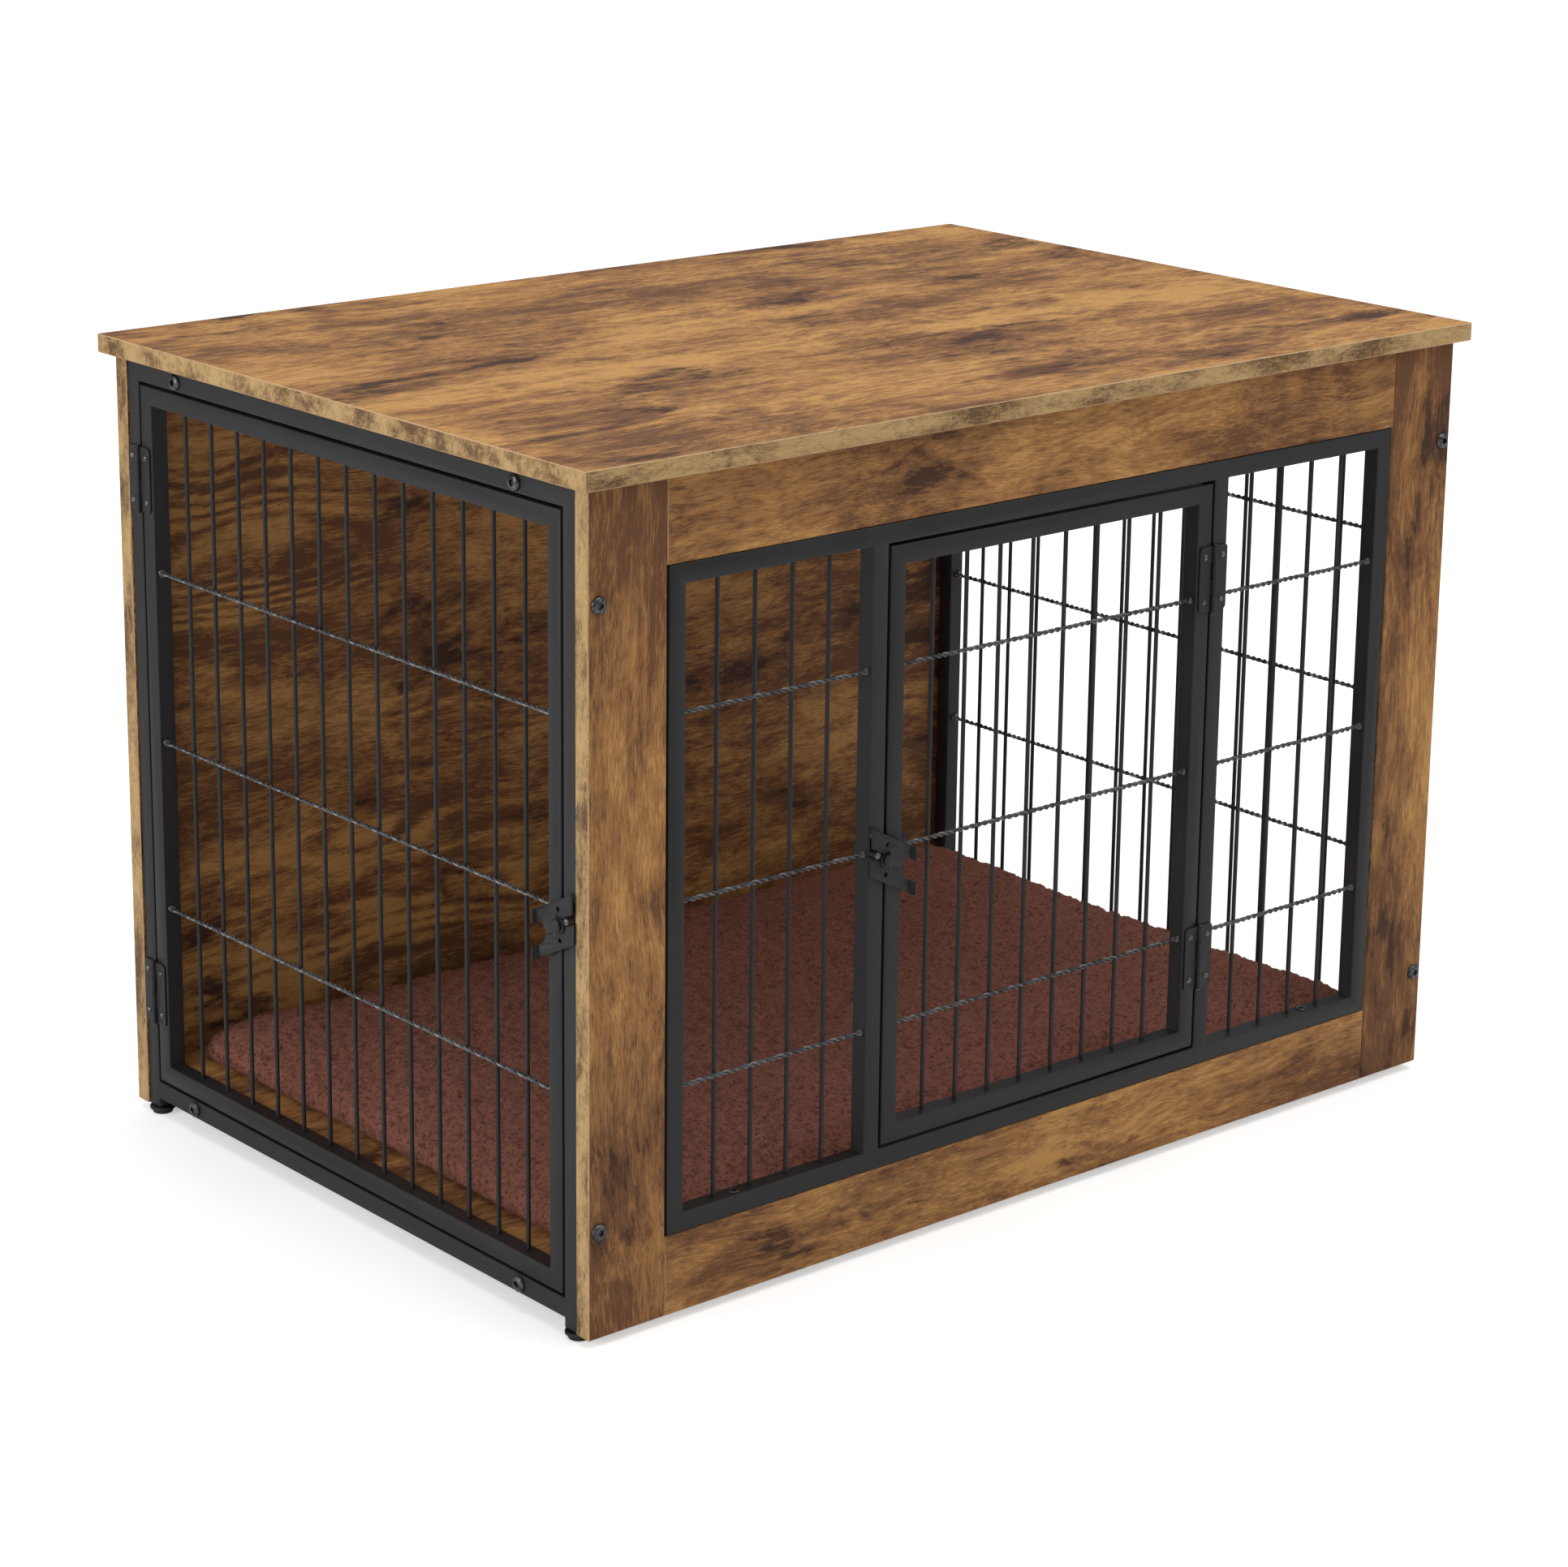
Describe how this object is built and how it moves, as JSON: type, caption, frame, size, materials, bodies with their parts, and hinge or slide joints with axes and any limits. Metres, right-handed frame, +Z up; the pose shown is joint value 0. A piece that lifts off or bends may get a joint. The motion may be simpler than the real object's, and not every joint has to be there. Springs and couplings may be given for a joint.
{
  "type": "dog crate end table",
  "caption": "Wood-faced dog crate on a square-tube steel frame, with a tabletop, barred doors with pinch latches in front and side, a loose bed and levelling feet.",
  "frame": {"origin": "on the ground under the centre of the tabletop", "axes": "+X to the right along the length, +Y to the back, +Z up; the front door faces -Y and the side door faces -X"},
  "size_m": [0.92, 0.632, 0.6533],
  "materials": {
    "wood": "rustic brown grained laminate, satin",
    "black_steel": "black powder coat, satin",
    "black_zinc": "black zinc, semi-gloss",
    "black_plastic": "moulded, matte",
    "fleece": "short curly fleece"
  },
  "bodies": {
    "cabinet": {"tabletop": "wood", "front_left_stile": "wood", "front_right_stile": "wood", "front_bottom_rail": "wood", "front_top_rail": "wood", "back_panel": "wood", "floor_board": "wood", "left_side_frame": "black_steel", "right_side_frame": "black_steel", "front_frame": "black_steel", "front_left_grille": "black_steel", "front_right_grille": "black_steel", "right_side_grille": "black_steel", "front_door_lower_hinge_fixed_leaf": "black_steel", "front_door_lower_hinge_pin": "black_zinc", "front_door_upper_hinge_fixed_leaf": "black_steel", "front_door_upper_hinge_pin": "black_zinc", "side_door_lower_hinge_fixed_leaf": "black_steel", "side_door_lower_hinge_pin": "black_zinc", "side_door_upper_hinge_fixed_leaf": "black_steel", "side_door_upper_hinge_pin": "black_zinc", "front_latch_keeper": "black_zinc", "side_latch_keeper": "black_zinc", "left_top_angle": "black_steel", "left_floor_angle": "black_steel", "right_top_angle": "black_steel", "right_floor_angle": "black_steel", "front_left_lower_bolt": "black_zinc", "front_left_upper_bolt": "black_zinc", "front_right_lower_bolt": "black_zinc", "front_right_upper_bolt": "black_zinc", "left_front_lower_bolt": "black_zinc", "left_front_upper_bolt": "black_zinc", "left_back_lower_bolt": "black_zinc", "left_back_upper_bolt": "black_zinc", "right_front_lower_bolt": "black_zinc", "right_front_upper_bolt": "black_zinc", "right_back_lower_bolt": "black_zinc", "right_back_upper_bolt": "black_zinc"},
    "front_door": {"front_door_frame": "black_steel", "front_door_grille": "black_steel", "front_door_lower_hinge_door_leaf": "black_steel", "front_door_upper_hinge_door_leaf": "black_steel", "front_latch_pivot": "black_zinc", "front_latch_spring": "black_zinc"},
    "front_latch_upper_lever": {"front_latch_upper_lever": "black_steel"},
    "front_latch_lower_lever": {"front_latch_lower_lever": "black_steel"},
    "side_door": {"side_door_frame": "black_steel", "side_door_grille": "black_steel", "side_door_lower_hinge_door_leaf": "black_steel", "side_door_upper_hinge_door_leaf": "black_steel", "side_latch_pivot": "black_zinc", "side_latch_spring": "black_zinc"},
    "side_latch_upper_lever": {"side_latch_upper_lever": "black_steel"},
    "side_latch_lower_lever": {"side_latch_lower_lever": "black_steel"},
    "front_left_foot": {"front_left_foot": "black_plastic"},
    "front_right_foot": {"front_right_foot": "black_plastic"},
    "back_left_foot": {"back_left_foot": "black_plastic"},
    "back_right_foot": {"back_right_foot": "black_plastic"},
    "bed": {"bed": "fleece"}
  },
  "joints": [
    {"name": "front_door_hinge", "type": "hinge", "parent": "cabinet", "child": "front_door", "pos_m": [0.17175, -0.3085, 0.3215], "axis": [0, 0, 1], "range_deg": [0, 170]},
    {"name": "front_latch_upper_pivot", "type": "hinge", "parent": "front_door", "child": "front_latch_upper_lever", "pos_m": [-0.173, -0.311, 0.3175], "axis": [0, 1, 0], "range_deg": [0, 16], "stiffness_Nm_per_rad": 0.3, "springref_deg": -17.19, "deforming": ["front_latch_spring"]},
    {"name": "front_latch_lower_pivot", "type": "hinge", "parent": "front_door", "child": "front_latch_lower_lever", "pos_m": [-0.173, -0.311, 0.3175], "axis": [0, 1, 0], "range_deg": [-16, 0], "stiffness_Nm_per_rad": 0.3, "springref_deg": 17.19},
    {"name": "side_door_hinge", "type": "hinge", "parent": "cabinet", "child": "side_door", "pos_m": [-0.451, 0.27525, 0.3215], "axis": [0, 0, -1], "range_deg": [0, 170]},
    {"name": "side_latch_upper_pivot", "type": "hinge", "parent": "side_door", "child": "side_latch_upper_lever", "pos_m": [-0.4535, -0.2765, 0.3175], "axis": [-1, 0, 0], "range_deg": [0, 16], "stiffness_Nm_per_rad": 0.3, "springref_deg": -17.19, "deforming": ["side_latch_spring"]},
    {"name": "side_latch_lower_pivot", "type": "hinge", "parent": "side_door", "child": "side_latch_lower_lever", "pos_m": [-0.4535, -0.2765, 0.3175], "axis": [-1, 0, 0], "range_deg": [-16, 0], "stiffness_Nm_per_rad": 0.3, "springref_deg": 17.19},
    {"name": "front_left_foot_thread", "type": "hinge", "parent": "cabinet", "child": "front_left_foot", "pos_m": [-0.441, -0.283, 0], "axis": [0, 0, 1], "continuous": true},
    {"name": "front_right_foot_thread", "type": "hinge", "parent": "cabinet", "child": "front_right_foot", "pos_m": [0.441, -0.283, 0], "axis": [0, 0, 1], "continuous": true},
    {"name": "back_left_foot_thread", "type": "hinge", "parent": "cabinet", "child": "back_left_foot", "pos_m": [-0.441, 0.283, 0], "axis": [0, 0, 1], "continuous": true},
    {"name": "back_right_foot_thread", "type": "hinge", "parent": "cabinet", "child": "back_right_foot", "pos_m": [0.441, 0.283, 0], "axis": [0, 0, 1], "continuous": true},
    {"name": "bed_lift", "type": "slide", "parent": "cabinet", "child": "bed", "axis": [0, 0, 1], "range_m": [0, 0.15]}
  ],
  "couplings": [
    {"joint": "front_latch_lower_pivot", "follows": "front_latch_upper_pivot", "ratio": -1},
    {"joint": "side_latch_lower_pivot", "follows": "side_latch_upper_pivot", "ratio": -1}
  ]
}
